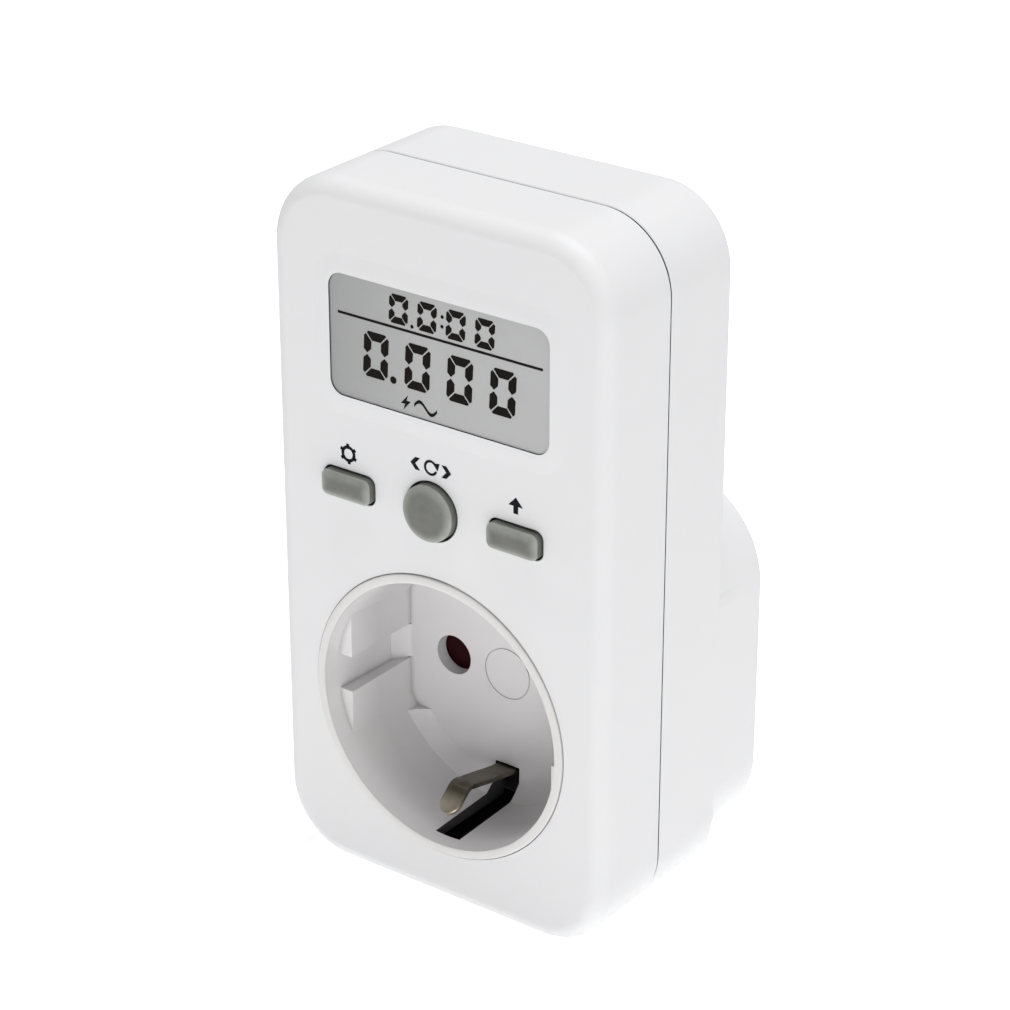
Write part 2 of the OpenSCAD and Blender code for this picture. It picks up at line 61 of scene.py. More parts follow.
SHELL_LOW, SHELL_HIGH = box_mm("front_shell")
REAR_LOW, REAR_HIGH = box_mm("rear_shell")
WELL_LOW = box_mm("socket_well")[0]
WELL_FLOOR_LOW = box_mm("socket_floor")[0]
BODY_W = SHELL_HIGH[0] - SHELL_LOW[0]
BODY_H = SHELL_HIGH[2] - SHELL_LOW[2]
BODY_Z = (SHELL_HIGH[2] + SHELL_LOW[2]) / 2
FRONT_Y = box_mm("display_window")[0][1] - 0.2
BOSS_Y = REAR_HIGH[1]
SEAM_LIP = 1.8
SEAM_Y = REAR_LOW[1] + SEAM_LIP
BOSS_DEPTH = 10.5
BACK_Y = BOSS_Y - BOSS_DEPTH
SEAM_GAP = 0.3
CORNER_R = 10.6
FRONT_ROUND = 2.6
BACK_ROUND = 1.2
WALL = 2.0
BOSS_H = 56.4
BOSS_CORNER_R = 14.5
BOSS_ROUND = 1.4
PLUG_R = 18.5
PLUG_FLANGE_R = 20.5
PIN_X = 9.5
PIN_R = 2.4
PIN_END = 19.0
PIN_HOLE_R = 3.0
EARTH_CONTACT_Z = 15.9
RIM_R = 21.2
WELL_R = 19.8
RIM_Y = WELL_LOW[1]
FLOOR_Y = WELL_FLOOR_LOW[1]
FLOOR_BACK_Y = FLOOR_Y + 2.0
FLAT_X = 17.3
HALF_GROOVE = 2.75
FLAT_TOP = math.sqrt((WELL_R + 0.3) ** 2 - FLAT_X ** 2)
FLAT_START = 3.0
WELL_FILLET_R = 2.2
WELL_TAPER = 0.6
MARK_R = 3.85
MARK_DEPTH = 0.14
SLOT_W = 4.2
SLOT_H = 8.0
SLOT_Z = 18.6
SLOT_START = 2.3

# ---------------------------------------------------------------- outlines in X and Z


def rounded_loop(width, height, radius, cx=0.0, cz=0.0, steps=12):
    """Points round a rectangle with round corners, the same number for any size."""
    radius = max(radius, 1e-3)
    points = []
    for k, (sx, sz) in enumerate(((1, 1), (-1, 1), (-1, -1), (1, -1))):
        ox = cx + sx * (width / 2 - radius)
        oz = cz + sz * (height / 2 - radius)
        for i in range(steps + 1):
            a = math.radians(90 * k + 90 * i / steps)
            points.append((ox + radius * math.cos(a), oz + radius * math.sin(a)))
    return points


def circle_loop(radius, cx=0.0, cz=0.0, steps=96):
    turns = [2 * math.pi * i / steps for i in range(steps)]
    return [(cx + radius * math.cos(a), cz + radius * math.sin(a)) for a in turns]


def body_loop(inset):
    """The housing's outline."""
    return rounded_loop(BODY_W - 2 * inset, BODY_H - 2 * inset, CORNER_R - inset, 0, BODY_Z, 20)


def boss_loop(inset):
    """The outline of the square boss behind the housing's lower half."""
    return rounded_loop(BODY_W - 2 * inset, BOSS_H - 2 * inset, BOSS_CORNER_R - inset, 0, 0, 24)


def rounding(y, direction, radius, steps):
    """Stations (y, inset) of a round edge, from the end face at y to the side."""
    stations = []
    for i in range(steps + 1):
        a = math.radians(90 * i / steps)
        stations.append((y + direction * radius * (1 - math.cos(a)), radius * (1 - math.sin(a))))
    return stations


# ---------------------------------------------------------------- mesh helpers


def new_object(name, bm):
    """Turns a bmesh into an object of the scene, with its faces looking outwards."""
    bmesh.ops.recalc_face_normals(bm, faces=bm.faces)
    mesh = bpy.data.meshes.new(name)
    bm.to_mesh(mesh)
    bm.free()
    obj = bpy.data.objects.new(name, mesh)
    bpy.context.scene.collection.objects.link(obj)
    return obj


def skin(bm, rings):
    """Faces from ring to ring and over both ends. The rings have equally many vertices."""
    count = len(rings[0])
    for lower, upper in zip(rings, rings[1:]):
        for i in range(count):
            j = (i + 1) % count
            bm.faces.new((lower[i], lower[j], upper[j], upper[i]))
    bm.faces.new(rings[0])
    bm.faces.new(list(reversed(rings[-1])))


def ring_at(bm, y, points):
    """Vertices at one station, in metres, from (x, z) points in mm."""
    return [bm.verts.new((x * MM, y * MM, z * MM)) for x, z in points]


def loft(name, stations):
    """A closed solid through outlines: stations are (y, points), all with as many points."""
    bm = bmesh.new()
    skin(bm, [ring_at(bm, y, points) for y, points in stations])
    return new_object(name, bm)


def prism(name, loop, y0, y1):
    return loft(name, [(y0, loop), (y1, loop)])


def lathe(name, profile, steps):
    """A solid of revolution about Y. The profile's points are (y, radius), on a closed outline."""
    bm = bmesh.new()
    rings = []
    for y, radius in profile:
        if radius < 1e-6:
            rings.append([bm.verts.new((0, y * MM, 0))])
        else:
            rings.append(ring_at(bm, y, circle_loop(radius, steps=steps)))
    for a, b in zip(rings, rings[1:] + rings[:1]):
        for i in range(steps):
            j = (i + 1) % steps
            corners = [a[i % len(a)], a[j % len(a)], b[j % len(b)], b[i % len(b)]]
            unique = list(dict.fromkeys(corners))
            if len(unique) > 2:
                bm.faces.new(unique)
    return new_object(name, bm)


def apply_modifiers(obj):
    """Replaces the mesh by the one its modifiers give, so that no modifier is left on it."""
    graph = bpy.context.evaluated_depsgraph_get()
    mesh = bpy.data.meshes.new_from_object(obj.evaluated_get(graph))
    obj.modifiers.clear()
    old = obj.data
    obj.data = mesh
    bpy.data.meshes.remove(old)


def boolean(obj, tools, operation):
    """Cuts tools from obj, or joins them to it, one by one, and removes them."""
    for tool in tools:
        modifier = obj.modifiers.new("bool", "BOOLEAN")
        modifier.operation = operation
        modifier.solver = "EXACT"
        modifier.object = tool
        apply_modifiers(obj)
        bpy.data.objects.remove(tool)
    return obj


def smooth(obj, angle=32):
    """Smooth shading with sharp edges above the angle, weighted so that flat faces stay flat.

    It first merges doubled points and closes the hairline gaps that a boolean can leave.
    """
    bm = bmesh.new()
    bm.from_mesh(obj.data)
    bmesh.ops.remove_doubles(bm, verts=bm.verts, dist=2e-6)
    bmesh.ops.dissolve_degenerate(bm, edges=bm.edges, dist=1e-6)
    gaps = [edge for edge in bm.edges if edge.is_boundary]
    if gaps:
        bmesh.ops.holes_fill(bm, edges=gaps, sides=4)
        bmesh.ops.recalc_face_normals(bm, faces=bm.faces)
    limit = math.radians(angle)
    for edge in bm.edges:
        edge.smooth = len(edge.link_faces) == 2 and edge.calc_face_angle(0) < limit
    for face in bm.faces:
        face.smooth = True
    bm.to_mesh(obj.data)
    bm.free()
    weighted = obj.modifiers.new("weighted", "WEIGHTED_NORMAL")
    weighted.keep_sharp = True
    weighted.weight = 80


def finish_piece(obj, material, body, nodes=(), angle=32):
    """Shades a piece, gives it its material and body, and hides the CAD nodes it stands for."""
    smooth(obj, angle)
    obj.data.materials.clear()
    obj.data.materials.append(material)
    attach(obj, body)
    if nodes:
        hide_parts(*nodes)
    return obj


def flat_shape(name, outlines, y0, y1):
    """Thin printed shapes: each outline is a list of (x, z) points, extruded from y0 to y1."""
    bm = bmesh.new()
    for points in outlines:
        skin(bm, [ring_at(bm, y, points) for y in (y0, y1)])
    return new_object(name, bm)


# ---------------------------------------------------------------- materials


class Nodes:
    """Short ways to add shader nodes to one material."""

    def __init__(self, name):
        self.material = bpy.data.materials.new(name)
        self.material.use_nodes = True
        self.tree = self.material.node_tree
        self.shader = self.tree.nodes["Principled BSDF"]
        self.coords = self.add("ShaderNodeTexCoord").outputs["Object"]

    def add(self, kind, **values):
        node = self.tree.nodes.new(kind)
        for key, value in values.items():
            setattr(node, key, value)
        return node

    def link(self, a, b):
        self.tree.links.new(a, b)

    def noise(self, scale, detail=3.0, roughness=0.55, stretch=None):
        node = self.add("ShaderNodeTexNoise")
        node.inputs["Scale"].default_value = scale
        node.inputs["Detail"].default_value = detail
        node.inputs["Roughness"].default_value = roughness
        source = self.coords
        if stretch:
            mapping = self.add("ShaderNodeMapping")
            mapping.inputs["Scale"].default_value = stretch
            self.link(source, mapping.inputs["Vector"])
            source = mapping.outputs["Vector"]
        self.link(source, node.inputs["Vector"])
        return node.outputs["Fac"]

    def ramp(self, source, stops):
        node = self.add("ShaderNodeValToRGB")
        ramp = node.color_ramp
        while len(ramp.elements) < len(stops):
            ramp.elements.new(0.5)
        for element, (position, colour) in zip(ramp.elements, stops):
            element.position = position
            element.color = (*colour, 1)
        self.link(source, node.inputs["Fac"])
        return node.outputs["Color"]

    def span(self, source, low, high):
        node = self.add("ShaderNodeMapRange")
        node.inputs["To Min"].default_value = low
        node.inputs["To Max"].default_value = high
        self.link(source, node.inputs["Value"])
        return node.outputs["Result"]

    def along(self, axis, start, end):
        """Runs from 0 to 1 between two stations, in mm, along an axis of the object."""
        split = self.add("ShaderNodeSeparateXYZ")
        self.link(self.coords, split.inputs[0])
        node = self.add("ShaderNodeMapRange")
        node.inputs["From Min"].default_value = start * MM
        node.inputs["From Max"].default_value = end * MM
        self.link(split.outputs[axis], node.inputs["Value"])
        return node.outputs["Result"]

    def occlusion(self, reach):
        """How open a place is within a reach in mm, for the painted shade in creases."""
        node = self.add("ShaderNodeAmbientOcclusion", samples=6)
        node.inputs["Distance"].default_value = reach * MM
        return node.outputs["AO"]

    def mix(self, factor, a, b, blend="MIX"):
        node = self.add("ShaderNodeMix", data_type="RGBA", blend_type=blend)
        for socket, value in ((node.inputs[0], factor), (node.inputs[6], a), (node.inputs[7], b)):
            if hasattr(value, "links"):
                self.link(value, socket)
            elif isinstance(value, (int, float)):
                socket.default_value = value
            else:
                socket.default_value = (*value, 1)
        return node.outputs[2]

    def bump(self, heights, distance=0.00002):
        """heights: list of (source, strength), stacked."""
        normal = None
        for source, strength in heights:
            node = self.add("ShaderNodeBump")
            node.inputs["Strength"].default_value = strength
            node.inputs["Distance"].default_value = distance
            self.link(source, node.inputs["Height"])
            if normal:
                self.link(normal, node.inputs["Normal"])
            normal = node.outputs["Normal"]
        self.link(normal, self.shader.inputs["Normal"])


def scaled(colour, factor):
    """A colour made lighter or darker."""
    return tuple(min(1, c * factor) for c in colour)


def greys(*stops):
    """Ramp stops in neutral grey, from pairs of place and brightness."""
    return [(place, (grey, grey, grey)) for place, grey in stops]


def shade_well(n, base, rim):
    """The socket's colour: the paler rim, painted shading that darkens slowly towards the floor, painted
    shade in the creases.
    """
    start, end, rim_colour = rim
    base = n.mix(n.along("Y", start, end), rim_colour, base)
    # Painted shade: the colour is darkened where a place is closed in, in creases and corners.
    painted_crease_shade = n.ramp(n.occlusion(1.3), [(0.4, (0.68, 0.67, 0.67)), (0.8, (1, 1, 1))])
    # Painted shading with depth: a little lighter just inside the rim, darker towards the floor.
    down = n.along("Y", RIM_Y, FLOOR_Y)
    depth = n.ramp(down, greys((0.0, 0.95), (0.15, 1), (0.55, 0.83), (1.0, 0.9)))
    base = n.mix(1.0, base, depth, "MULTIPLY")
    return n.mix(1.0, base, painted_crease_shade, "MULTIPLY")


def moulded_plastic(name, colour, roughness, variation, grain, tint=None, shine=0.5, glow=0.0, rim=None):
    """Moulded plastic: faint cloudy colour, fine spark-eroded grain, slow ripples, handled spots."""
    n = Nodes(name)
    cloud = n.noise(55, 3)
    fine = n.noise(2600, 2)
    ripple = n.noise(90, 2)
    handled = n.noise(240, 5, 0.65)
    warm = tint or scaled(colour, 0.985)
    base = n.ramp(cloud, [(0.3, scaled(colour, 1 - variation)), (0.5, colour), (0.72, warm)])
    if rim:
        base = shade_well(n, base, rim)
    n.link(base, n.shader.inputs["Base Color"])
    n.link(n.span(handled, roughness - 0.07, roughness + 0.09), n.shader.inputs["Roughness"])
    n.bump([(fine, grain), (ripple, 0.12)])
    n.shader.inputs["IOR"].default_value = 1.5
    n.shader.inputs["Specular IOR Level"].default_value = shine
    if glow:
        n.shader.inputs["Emission Color"].default_value = (1, 1, 1, 1)
        n.shader.inputs["Emission Strength"].default_value = glow
    return n.material


def rolled_metal(name, colour, roughness, stain, stretch=(1, 1, 1), grain=0.35, lit_front=None):
    """Metal with rolling lines and a stained film. The last argument gives the stations between which
    it is painted paler towards the front, as a painted highlight, and its colour there."""
    n = Nodes(name)
    lines = n.noise(900, 3, 0.6, stretch)
    film = n.noise(260, 4, 0.6)
    base = n.ramp(film, [(0.3, scaled(colour, stain)), (0.55, colour), (0.8, scaled(colour, 1.08))])
    # Painted highlight: paler towards the front, between the two stations.
    if lit_front:
        start, end, lit_colour = lit_front
        lit_tone = n.ramp(film, [(0.3, scaled(lit_colour, stain)), (0.6, lit_colour)])
        base = n.mix(n.along("Y", start, end), lit_tone, base)
    n.link(base, n.shader.inputs["Base Color"])
    n.shader.inputs["Metallic"].default_value = 1.0
    n.link(n.span(lines, roughness - 0.08, roughness + 0.14), n.shader.inputs["Roughness"])
    n.bump([(lines, grain)])
    return n.material


def key_rubber(name):
    """Grey silicone rubber, darker on the pressed top, with a painted highlight that makes it paler along its
    rounded edge.
    """
    n = Nodes(name)
    edge = n.add("ShaderNodeAttribute", attribute_name="edge").outputs["Fac"]
    mottled = n.noise(420, 5, 0.6)
    speck = n.noise(2400, 2)
    top = n.ramp(mottled, [(0.3, (0.12, 0.124, 0.109)), (0.7, (0.158, 0.163, 0.144))])
    # Painted highlight: the rounded edge blends towards this paler tone.
    rim = n.ramp(mottled, [(0.3, (0.32, 0.33, 0.30)), (0.7, (0.41, 0.42, 0.385))])
    base = n.mix(edge, top, rim)
    n.link(base, n.shader.inputs["Base Color"])
    n.link(n.span(mottled, 0.48, 0.66), n.shader.inputs["Roughness"])
    n.bump([(speck, 0.3), (mottled, 0.25)])
    n.shader.inputs["Sheen Weight"].default_value = 0.15
    n.shader.inputs["Subsurface Weight"].default_value = 0.1
    n.shader.inputs["Subsurface Radius"].default_value = (0.001, 0.001, 0.0009)
    return n.material


def lcd_face(name):
    """Reflective grey of an unlit display, with a painted reflection that makes it paler to the right, and a
    fine polariser grain.
    """
    n = Nodes(name)
    # Painted reflection: the grey runs from darker at the left to paler at the right.
    painted_reflection_tones = [(0.0, (0.34, 0.342, 0.342)), (0.5, (0.455, 0.457, 0.457)), (1.0, (0.475, 0.477, 0.477))]
    grey = n.ramp(n.along("X", -18, 18), painted_reflection_tones)
    cloud = n.noise(160, 3)
    shade = n.ramp(cloud, greys((0.3, 0.96), (0.7, 1)))
    n.link(n.mix(1.0, grey, shade, "MULTIPLY"), n.shader.inputs["Base Color"])
    n.link(n.span(n.noise(900, 3), 0.32, 0.46), n.shader.inputs["Roughness"])
    n.bump([(n.noise(5200, 1), 0.08)])
    n.shader.inputs["Specular IOR Level"].default_value = 0.25
    return n.material


def printed_ink(name, colour, roughness=0.5):
    """Matt ink with a fine unevenness."""
    n = Nodes(name)
    speck = n.noise(1800, 4, 0.6)
    base = n.ramp(speck, [(0.35, scaled(colour, 0.7)), (0.7, scaled(colour, 1.4))])
    n.link(base, n.shader.inputs["Base Color"])
    n.link(n.span(speck, roughness - 0.1, roughness + 0.12), n.shader.inputs["Roughness"])
    n.bump([(speck, 0.2)], 0.00001)
    n.shader.inputs["Specular IOR Level"].default_value = 0.05
    return n.material


FLOOR_GLOW = 0.54


def make_materials():
    """One material for each kind of surface, by a short name."""
    white = (0.765, 0.765, 0.775)
    return {
        "shell": moulded_plastic("white_abs", white, 0.5, 0.012, 0.12, (0.765, 0.763, 0.77), shine=0.28),
        # A dark tone painted on faces inside the housing, as their shade.
        "painted_interior_shade": moulded_plastic("painted_interior_shade", (0.09, 0.09, 0.093), 0.6, 0.1, 0.2, shine=0.2),
        "socket": moulded_plastic("socket_plastic", (0.79, 0.772, 0.782), 0.34, 0.04, 0.10,
                                  (0.80, 0.777, 0.777), rim=(RIM_Y + 0.25, RIM_Y + 0.4, (0.73, 0.72, 0.715))),
        "plug": moulded_plastic("plug_plastic", (0.78, 0.78, 0.785), 0.4, 0.03, 0.14),
        # The shutter's red is darkened nearly to black: painted shade, for its place deep behind the pin
        # holes.
        "red": moulded_plastic("shutter_red_painted_shade", (0.02, 0.0008, 0.0025), 0.5, 0.1, 0.2, shine=0.08),
        "ivory": moulded_plastic("natural_plastic", (0.72, 0.70, 0.62), 0.45, 0.05, 0.2),
        "rubber": key_rubber("key_rubber"),
        "mat_rubber": moulded_plastic("mat_rubber", (0.21, 0.215, 0.19), 0.6, 0.08, 0.3),
        # The clips are painted paler towards the front: a painted highlight near the well's opening.
        "nickel_silver": rolled_metal("nickel_silver", (0.16, 0.142, 0.108), 0.34, 0.6, (1, 0.15, 1),
                                      lit_front=(FRONT_Y + 2.0, FRONT_Y + 4.0, (0.80, 0.73, 0.56))),
        "nickel": rolled_metal("nickel_plate", (0.74, 0.72, 0.68), 0.2, 0.85, (1, 0.12, 1), 0.2),
        "brass": rolled_metal("brass", (0.78, 0.58, 0.26), 0.28, 0.75, (1, 0.2, 1)),
        "steel": rolled_metal("zinc_steel", (0.62, 0.62, 0.63), 0.32, 0.7),
        "lcd": lcd_face("lcd_face"),
        "ink": printed_ink("label_ink", (0.008, 0.008, 0.012)),
        "segment": printed_ink("lcd_segment", (0.006, 0.004, 0.0035), 0.4),
        "board": moulded_plastic("solder_mask", (0.02, 0.16, 0.06), 0.3, 0.2, 0.3),
        "black": moulded_plastic("black_resin", (0.02, 0.02, 0.022), 0.45, 0.2, 0.3),
        "dark_rubber": moulded_plastic("contact_rubber", (0.03, 0.03, 0.03), 0.7, 0.2, 0.4),
        "yellow": moulded_plastic("capacitor_yellow", (0.75, 0.48, 0.04), 0.25, 0.08, 0.1),
        "navy": moulded_plastic("capacitor_sleeve", (0.02, 0.03, 0.11), 0.25, 0.15, 0.1),
        "blue": moulded_plastic("varistor_blue", (0.03, 0.12, 0.45), 0.25, 0.1, 0.1),
        "brown_pvc": moulded_plastic("wire_brown", (0.20, 0.08, 0.03), 0.4, 0.1, 0.1),
        "blue_pvc": moulded_plastic("wire_blue", (0.03, 0.16, 0.55), 0.4, 0.1, 0.1),
        "green": moulded_plastic("battery_green", (0.05, 0.35, 0.12), 0.3, 0.1, 0.1),
        "grey_pvc": moulded_plastic("cable_grey", (0.45, 0.46, 0.48), 0.5, 0.1, 0.2),
        "pale_glass": moulded_plastic("fuse_glass", (0.70, 0.73, 0.73), 0.12, 0.04, 0.05),
        "floor": moulded_plastic("floor_white", (0.93, 0.93, 0.93), 0.6, 0.01, 0.05, glow=FLOOR_GLOW),
    }


MAT = make_materials()

# ---------------------------------------------------------------- shells

WINDOW_LOW, WINDOW_HIGH = box_mm("display_window")
WINDOW_X = (WINDOW_LOW[0] + WINDOW_HIGH[0]) / 2
WINDOW_Z = (WINDOW_LOW[2] + WINDOW_HIGH[2]) / 2
WINDOW_W = WINDOW_HIGH[0] - WINDOW_LOW[0] + 0.1
WINDOW_H = WINDOW_HIGH[2] - WINDOW_LOW[2] + 0.1
WINDOW_R = 2.2
BEZEL_W = 3.0
BEZEL_RISE = 0.14
SCREW_TUBE_R = 3.6
SCREW_RECESS_R = 2.9
SCREW_HOLE_R = 1.7
KEY_NAMES = ("set_key", "mode_key", "up_key")
KEY_FLANGE = 1.1
KEY_GAP = 0.33
KEY_CORNER = 1.0
SCREW_PLACES = ((20.9, SHELL_HIGH[2] - 6.2), (12, SHELL_LOW[2] + 5.3))
CASE_SCREWS = [(s * x, z) for s in (-1, 1) for x, z in SCREW_PLACES]


def key_centre(node):
    low, high = box_mm(node)
    return (low[0] + high[0]) / 2, (low[2] + high[2]) / 2


def key_size(node):
    """Width and height of a key's cap, without the flange that keeps it behind the shell."""
    low, high = box_mm(node)
    return high[0] - low[0] - 2 * KEY_FLANGE, high[2] - low[2] - 2 * KEY_FLANGE


def key_loop(node, inset):
    """A key's outline: the middle one is round, the others have round corners."""
    cx, cz = key_centre(node)
    width, height = key_size(node)
    if node == "mode_key":
        return circle_loop(width / 2 - inset, cx, cz, 64)
    return rounded_loop(width - 2 * inset, height - 2 * inset, max(KEY_CORNER - inset, 0.12), cx, cz, 10)


def window_loop(grow):
    """The display window's outline."""
    return rounded_loop(WINDOW_W + 2 * grow, WINDOW_H + 2 * grow, WINDOW_R + grow, WINDOW_X, WINDOW_Z, 12)


def shade_inside(shell, cavity_y):
    """Paints the faces inside the closed housing, and the inner part of its openings' walls, a dark tone:
    painted shade of its unlit interior.
    """
    shell.data.materials.append(MAT["painted_interior_shade"])
    for face in shell.data.polygons:
        x, y, z = (v / MM for v in face.center)
        in_recess = min(math.hypot(x - sx, z - sz) for sx, sz in CASE_SCREWS) < SCREW_TUBE_R - 0.15
        over_x = abs(x) - BODY_W / 2 + CORNER_R
        over_z = abs(z - BODY_Z) - BODY_H / 2 + CORNER_R
        depth = CORNER_R - math.hypot(max(over_x, 0), max(over_z, 0)) - min(max(over_x, over_z), 0)
        if depth > WALL / 2 and cavity_y[0] < y < cavity_y[1] and not in_recess:
            face.material_index = 1
    return shell


def make_front_shell():
    """The front shell with its raised bezel, cut for the well, the window and the keys."""
    stations = [(y, body_loop(inset)) for y, inset in rounding(FRONT_Y, 1, FRONT_ROUND, 10)]
    stations += [(SEAM_Y - 0.15, body_loop(0)), (SEAM_Y, body_loop(0.15))]
    shell = loft("front_shell_moulding", stations)
    bezel = loft("bezel", [
        (FRONT_Y - BEZEL_RISE, window_loop(0.6)),
        (FRONT_Y - BEZEL_RISE * 0.86, window_loop(1.0)),
        (FRONT_Y - BEZEL_RISE * 0.14, window_loop(BEZEL_W - 0.4)),
        (FRONT_Y + 0.02, window_loop(BEZEL_W)),
        (FRONT_Y + 0.5, window_loop(BEZEL_W))])
    boolean(shell, [bezel], "UNION")
    cavity = prism("cavity", body_loop(WALL), FRONT_Y + WALL, SEAM_Y + 2)
    rebate = prism("rebate", body_loop(1.0), SEAM_Y - 2, SEAM_Y + 2)
    mouth = ((-2, 0.13), (-0.02, 0.13), (0.05, 0.08), (0.12, 0.05), (WALL + 1, 0.05))
    well = loft("well_hole", [(FRONT_Y + y, circle_loop(RIM_R + grow, steps=160)) for y, grow in mouth])
    window = prism("window_hole", window_loop(0), FRONT_Y - 2, FRONT_Y + WALL + 1)
    tools = [cavity, rebate, well, window]
    for node in KEY_NAMES:
        edge = ((-2, 0.08), (-0.02, 0.08), (0.08, 0), (0.2, 0), (WALL + 1, 0))
        tools.append(loft("key_hole", [(FRONT_Y + y, key_loop(node, -KEY_GAP - grow)) for y, grow in edge]))
    boolean(shell, tools, "DIFFERENCE")
    finish_piece(shell, MAT["shell"], "housing", ["front_shell"])
    return shade_inside(shell, (FRONT_Y + 0.4, SEAM_Y - 0.1))


def make_rear_shell():
    """The rear shell and boss, hollow, with the seam's lip and the tubes of the case screws."""
    side = [(SEAM_Y + SEAM_GAP, body_loop(0.15)), (SEAM_Y + SEAM_GAP + 0.15, body_loop(0))]
    side += [(y, body_loop(inset)) for y, inset in reversed(rounding(BACK_Y, -1, BACK_ROUND, 6))]
    shell = loft("rear_shell_moulding", side)
    boss = [(SEAM_Y + 3, boss_loop(0.02))]
    boss += [(y, boss_loop(inset + 0.02)) for y, inset in reversed(rounding(BOSS_Y, -1, BOSS_ROUND, 6))]
    boolean(shell, [loft("boss", boss)], "UNION")
    lip = prism("lip", body_loop(1.1), SEAM_Y - SEAM_LIP, SEAM_Y + 1)
    boolean(shell, [lip], "UNION")
    tools = [
        prism("cavity", body_loop(WALL + 0.2), SEAM_Y - 3, BACK_Y - WALL),
        prism("boss_cavity", boss_loop(WALL + 0.2), SEAM_Y - 3, BOSS_Y - WALL),
        prism("plug_hole", circle_loop(PLUG_R + 0.1), BOSS_Y - WALL - 1, BOSS_Y + 1)]
    boolean(shell, tools, "DIFFERENCE")
    mouths = [(x, z, BACK_Y if z > 0 else BOSS_Y) for x, z in CASE_SCREWS]
    tubes, recesses = [], []
    for x, z, mouth in mouths:
        tubes.append(prism("tube", circle_loop(SCREW_TUBE_R, x, z, 48), SEAM_Y + 1, mouth - 1))
    boolean(shell, tubes, "UNION")
    for x, z, mouth in mouths:
        stations = ((BACK_Y - 3, 0), (mouth - 0.35, 0), (mouth + 0.02, 0.4), (mouth + 2, 0.4))
        loops = [(y, circle_loop(SCREW_RECESS_R + grow, x, z, 48)) for y, grow in stations]
        recesses.append(loft("recess", loops))
        recesses.append(prism("screw_hole", circle_loop(SCREW_HOLE_R, x, z, 32), SEAM_Y - 1, BACK_Y - 2))
    boolean(shell, recesses, "DIFFERENCE")
    finish_piece(shell, MAT["shell"], "housing", ["rear_shell"])
    return shade_inside(shell, (SEAM_Y - SEAM_LIP - 0.1, BACK_Y - 1))


# ---------------------------------------------------------------- socket


def make_well_fillet(floor_r, radius):
    """Rounded corner between the floor and the round wall; it stops at the side flats."""
    wall_r = floor_r + (WELL_R - floor_r) * radius / (FLOOR_Y - RIM_Y)
    profile = [(FLOOR_Y + 0.3, wall_r + 0.3), (FLOOR_Y - radius, wall_r + 0.3)]
    ends = Vector((FLOOR_Y - radius, wall_r)), Vector((FLOOR_Y, wall_r - radius))
    pull = Vector((FLOOR_Y - 0.2 * radius, wall_r - 0.6 * radius))
    for i in range(9):
        t = i / 8
        profile.append(tuple(ends[0] * (1 - t) ** 2 + 2 * pull * t * (1 - t) + ends[1] * t ** 2))
    profile.append((FLOOR_Y + 0.3, wall_r - radius))
    fillet = lathe("fillet", profile, 160)
    inner_x, outer_x = 10, FLAT_X + 0.3
    low_z = HALF_GROOVE - 0.15
    sides = []
    for sx in (-1, 1):
        for sz in (-1, 1):
            centre = (sx * (inner_x + outer_x) / 2, sz * (low_z + FLAT_TOP) / 2)
            loop = rounded_loop(outer_x - inner_x, FLAT_TOP - low_z, 0.02, *centre, 2)
            sides.append(prism("side", loop, FLOOR_Y - 3, FLOOR_Y + 1))
    return boolean(fillet, sides, "DIFFERENCE")


def make_socket_insert():
    """The well, turned in one piece with its rim and floor mark, then its flats, holes and slots."""
    floor_r = WELL_R - WELL_TAPER
    profile = [(FLOOR_BACK_Y, 0), (FLOOR_BACK_Y, RIM_R)]
    profile += [(RIM_Y + r, RIM_R - i) for r, i in ((0.35, 0), (0.12, 0.08), (0.0, 0.3))]
    profile += [(RIM_Y + r, WELL_R + i) for r, i in ((0.0, 0.35), (0.08, 0.1), (0.3, 0.0))]
    mark = ((0, 0.1), (MARK_DEPTH, 0.08), (MARK_DEPTH, -0.08), (0, -0.1))
    profile += [(FLOOR_Y, floor_r)] + [(FLOOR_Y + y, MARK_R + r) for y, r in mark] + [(FLOOR_Y, 0)]
    well = lathe("socket_moulding", profile, 160)
    boolean(well, [make_well_fillet(floor_r, WELL_FILLET_R)], "UNION")
    flats = []
    arc_r = WELL_R + 0.3
    arc_start = math.asin(HALF_GROOVE / arc_r)
    arc_end = math.atan2(FLAT_TOP, FLAT_X)
    outline = [(FLAT_X, HALF_GROOVE)]
    for i in range(11):
        a = arc_start + (arc_end - arc_start) * i / 10
        outline.append((arc_r * math.cos(a), arc_r * math.sin(a)))
    for sx in (-1, 1):
        for sz in (-1, 1):
            loop = [(sx * x, sz * z) for x, z in outline]
            flats.append(prism("flat", loop, RIM_Y + FLAT_START, FLOOR_Y + 0.5))
    boolean(well, flats, "UNION")
    through_y = FLOOR_BACK_Y + 1
    tools = []
    for s in (-1, 1):
        tools.append(prism("pin_hole", circle_loop(PIN_HOLE_R, s * PIN_X, 0, 64), FLOOR_Y - 3, through_y))
    for s in (-1, 1):
        loop = rounded_loop(SLOT_W, SLOT_H, 0.15, 0, s * SLOT_Z, 3)
        tools.append(prism("slot", loop, RIM_Y + SLOT_START, through_y))
    boolean(well, tools, "DIFFERENCE")
    finish_piece(well, MAT["socket"], "housing", ["socket_well", "socket_floor"])
    return shade_slots(well)


